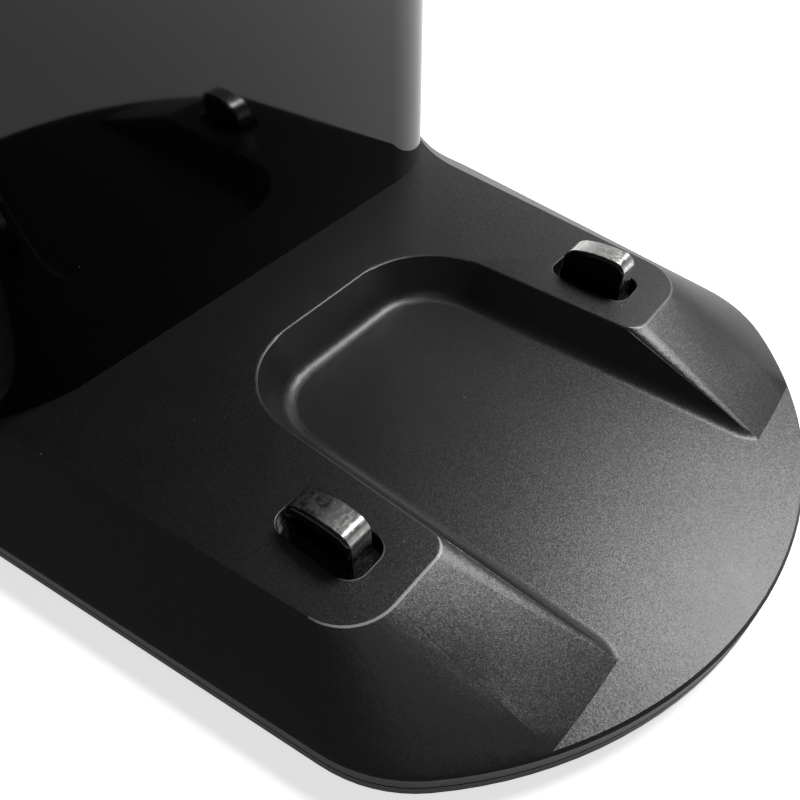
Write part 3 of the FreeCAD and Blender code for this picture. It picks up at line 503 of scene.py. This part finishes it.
def easeCorners(shape):
    # a strip along the foot is parted off first and stays as it is
    planes = [((0.0, 0.0, corners["footTop"]), (0.0, 0.0, 1.0))]
    planes += [((0.0, corners["foldTop"] - row * corners["cutLength"], 0.0), (0.0, 1.0, 0.0))
               for row in range(corners["cutsAlong"])]
    for row in range(-corners["cutsAcross"], corners["cutsAcross"] + 1):
        x = corners["foldAt"] + row * corners["cutWidth"]
        planes += [((side * x, 0.0, 0.0), (1.0, 0.0, 0.0)) for side in (-1.0, 1.0)]
    for at, facing in planes:
        slopes = slopeFaces(shape, corners["footFrom"] if facing[2] else corners["footTop"])
        edges = dict.fromkeys(edge for face in slopes for edge in face.edges)
        verts = dict.fromkeys(vert for face in slopes for vert in face.verts)
        bmesh.ops.bisect_plane(shape, geom=slopes + list(edges) + list(verts),
                               dist=shells["mergeDistance"], plane_co=at, plane_no=facing)
    slopes = slopeFaces(shape, corners["footTop"])
    for vert in dict.fromkeys(vert for face in slopes for vert in face.verts):
        near = max(corners["reach"] - abs(abs(vert.co.x) - corners["foldAt"]), 0.0)
        down = share(corners["foldTop"] - vert.co.y, 0.0, corners["foldRun"])
        lift = share(vert.co.z, corners["footTop"], corners["fullFrom"])
        turn = corners["turn"] * down * (2.0 - down) * lift * lift * (3.0 - 2.0 * lift)
        vert.co.z -= turn * near * near / (4.0 * corners["reach"])
    shape.normal_update()
    print("corner slopes eased:", len(slopes), "faces")


def faceWidths(shape):
    # mean width of the nearly flat patch that each face belongs to
    widths = {}
    for start in shape.faces:
        if start in widths:
            continue
        patch, waiting, rim = {start}, [start], 0.0
        while waiting:
            for edge in waiting.pop().edges:
                if edge.calc_face_angle(math.pi) > shells["flatAngle"]:
                    rim += edge.calc_length()
                    continue
                fresh = [face for face in edge.link_faces if face not in patch]
                patch.update(fresh)
                waiting.extend(fresh)
        width = 2.0 * sum(face.calc_area() for face in patch) / max(rim, shells["mergeDistance"])
        widths.update({face: width for face in patch})
    return widths


# narrow crest strips at the pad tops get the mask for edge wear and painted highlight, fading out
# towards the back and weaker on the right pad
def markWearAndHighlight(shape, widths, wearAndHighlight):
    for face in shape.faces:
        centre = face.calc_center_median()
        if widths[face] < shells["edgeStrip"] and centre.z > shells["wearHighlightFrom"]:
            side = shells["wearHighlightRight"] if centre.x > 0.0 else 1.0
            face[wearAndHighlight] = side * share(-centre.y, shells["wearHighlightBack"], shells["wearHighlightFront"])


def smoothShell(nodeName, pieceName):
    isBase = nodeName == "base_cover"
    shape = bmesh.new()
    shape.from_mesh(nodes[nodeName].data)
    # face layer for the mask of edge wear and painted highlight
    wearAndHighlight = shape.faces.layers.float.new("wornEdgeHighlight")
    bmesh.ops.remove_doubles(shape, verts=shape.verts, dist=shells["mergeDistance"])
    sliver = shells["baseSliver"] if isBase else shells["mergeDistance"]
    bmesh.ops.dissolve_degenerate(shape, edges=shape.edges, dist=sliver)
    widths = faceWidths(shape)
    for face in shape.faces:
        face.smooth = True
    for edge in shape.edges:
        broad = all(widths[face] > shells["broad"] for face in edge.link_faces)
        limit = shells["foldAngle"] if broad else shells["creaseAngle"]
        edge.smooth = edge.calc_face_angle(0.0) < limit
    if isBase:
        markWearAndHighlight(shape, widths, wearAndHighlight)
        easeCorners(shape)
    mesh = bpy.data.meshes.new(pieceName)
    shape.to_mesh(mesh)
    shape.free()
    piece = bpy.data.objects.new(pieceName, mesh)
    bpy.context.scene.collection.objects.link(piece)
    mesh.materials.clear()
    mesh.materials.append(nodes[nodeName].data.materials[0])
    if nodeName in springHeads:
        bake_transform(piece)
    else:
        weighted = piece.modifiers.new("evenShading", "WEIGHTED_NORMAL")
        weighted.mode = "FACE_AREA"
        weighted.weight = shells["evenWeight"]
        weighted.keep_sharp = True
        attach(piece, bodyOf(nodeName))
    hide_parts(nodeName)


for nodeName, pieceName in shells["names"].items():
    smoothShell(nodeName, pieceName)
print("shells made:", len(shells["names"]))


# Floor, light and camera

stageLook = {
    "floorSize": 6.0, "floorColour": (0.86, 0.86, 0.86), "floorGlow": 0.68,
    "mirrorGlowNear": 0.15, "mirrorGlowFar": 1.0, "mirrorNear": 0.05, "mirrorFar": 0.45,
    "worldFill": 0.05, "worldMirror": 0.12,
    "brightSides": [
        {"towards": (0.975, 0.170, 0.140), "from": 0.88, "to": 0.97, "glow": 1.35},
        {"towards": (0.634, -0.768, 0.09), "from": 0.86, "to": 0.98, "glow": 0.45},
        {"towards": (0.770, 0.620, 0.140), "from": 0.95, "to": 0.99, "glow": 1.0},
    ],
}


def mirroredRay(tree, path):
    return maths(tree, "MAXIMUM", path.outputs["Is Glossy Ray"], path.outputs["Is Transmission Ray"])


def makeFloor():
    shape = bmesh.new()
    bmesh.ops.create_grid(shape, x_segments=1, y_segments=1, size=stageLook["floorSize"] / 2)
    mesh = bpy.data.meshes.new("studio_floor")
    shape.to_mesh(mesh)
    shape.free()
    floor = bpy.data.objects.new("studio_floor", mesh)
    bpy.context.scene.collection.objects.link(floor)
    material = bpy.data.materials.new("floor_paper")
    material.use_nodes = True
    tree = material.node_tree
    tree.nodes.remove(tree.nodes["Principled BSDF"])
    paper = place(tree, "BsdfDiffuse", Color=(*stageLook["floorColour"], 1.0))
    glow = place(tree, "Emission", Color=(1.0, 1.0, 1.0, 1.0))
    both = place(tree, "AddShader")
    path = place(tree, "LightPath")
    direct = maths(tree, "MULTIPLY", path.outputs["Is Camera Ray"], stageLook["floorGlow"])
    coords = place(tree, "TexCoord")
    across = place(tree, "SeparateXYZ")
    tree.links.new(coords.outputs["Object"], across.inputs["Vector"])
    sideGlow = remap(tree, across.outputs["X"], stageLook["mirrorNear"], stageLook["mirrorFar"],
                     stageLook["mirrorGlowNear"], stageLook["mirrorGlowFar"])
    mirrored = maths(tree, "MULTIPLY", mirroredRay(tree, path), sideGlow)
    tree.links.new(maths(tree, "ADD", direct, mirrored), glow.inputs["Strength"])
    tree.links.new(paper.outputs[0], both.inputs[0])
    tree.links.new(glow.outputs[0], both.inputs[1])
    tree.links.new(both.outputs[0], tree.nodes["Material Output"].inputs["Surface"])
    mesh.materials.append(material)


def makeWorld():
    world = bpy.data.worlds.new("studio")
    bpy.context.scene.world = world
    world.use_nodes = True
    tree = world.node_tree
    background = tree.nodes["Background"]
    background.inputs["Color"].default_value = (1.0, 1.0, 1.0, 1.0)
    coords = place(tree, "TexCoord")
    mirrored = stageLook["worldMirror"]
    for side in stageLook["brightSides"]:
        facing = place(tree, "VectorMath", {"operation": "DOT_PRODUCT"})
        facing.inputs[1].default_value = Vector(side["towards"]).normalized()
        tree.links.new(coords.outputs["Generated"], facing.inputs[0])
        patch = remap(tree, facing.outputs["Value"], side["from"], side["to"], 0.0, side["glow"])
        mirrored = maths(tree, "ADD", patch, mirrored)
    path = place(tree, "LightPath")
    strength = place(tree, "Mix")
    tree.links.new(mirroredRay(tree, path), strength.inputs[0])
    strength.inputs[2].default_value = stageLook["worldFill"]
    tree.links.new(mirrored, strength.inputs[3])
    shown = maths(tree, "MAXIMUM", strength.outputs[0], path.outputs["Is Camera Ray"])
    tree.links.new(shown, background.inputs["Strength"])


lamps = {
    "key": {"at": (0.458, -0.116, 0.669), "size": 0.24, "power": 5.5},
    "top": {"at": (-0.18, -0.33, 0.80), "size": 0.4, "power": 0.3},
}
aim = Vector((0.0, -0.02, 0.02))


def makeLamp(name, look):
    light = bpy.data.lights.new(name, "AREA")
    light.shape = "SQUARE"
    light.size = look["size"]
    light.energy = look["power"]
    lamp = bpy.data.objects.new(name, light)
    bpy.context.scene.collection.objects.link(lamp)
    lamp.location = look["at"]
    lamp.rotation_euler = (aim - lamp.location).to_track_quat("-Z", "Y").to_euler()


viewpoint = {
    "at": (-0.08663, -0.06962, 0.11445),
    "right": (0.6272, -0.7789, 0.0),
    "up": (0.5625, 0.4530, 0.6917),
    "lens": 34.35,
    "sensor": 36.0,
    "nearest": 0.005,
}


def makeCamera():
    data = bpy.data.cameras.new("viewpoint")
    data.sensor_width = viewpoint["sensor"]
    data.lens = viewpoint["lens"]
    data.clip_start = viewpoint["nearest"]
    camera = bpy.data.objects.new("viewpoint", data)
    bpy.context.scene.collection.objects.link(camera)
    right = Vector(viewpoint["right"]).normalized()
    up = Vector(viewpoint["up"])
    up = (up - right * up.dot(right)).normalized()
    turn = Matrix((right, up, right.cross(up))).transposed().to_4x4()
    camera.matrix_world = Matrix.Translation(viewpoint["at"]) @ turn
    bpy.context.scene.camera = camera


makeFloor()
makeWorld()
for name, look in lamps.items():
    makeLamp(name, look)
makeCamera()
bpy.context.scene.view_settings.view_transform = "Standard"
print("stage, lamps and camera set")
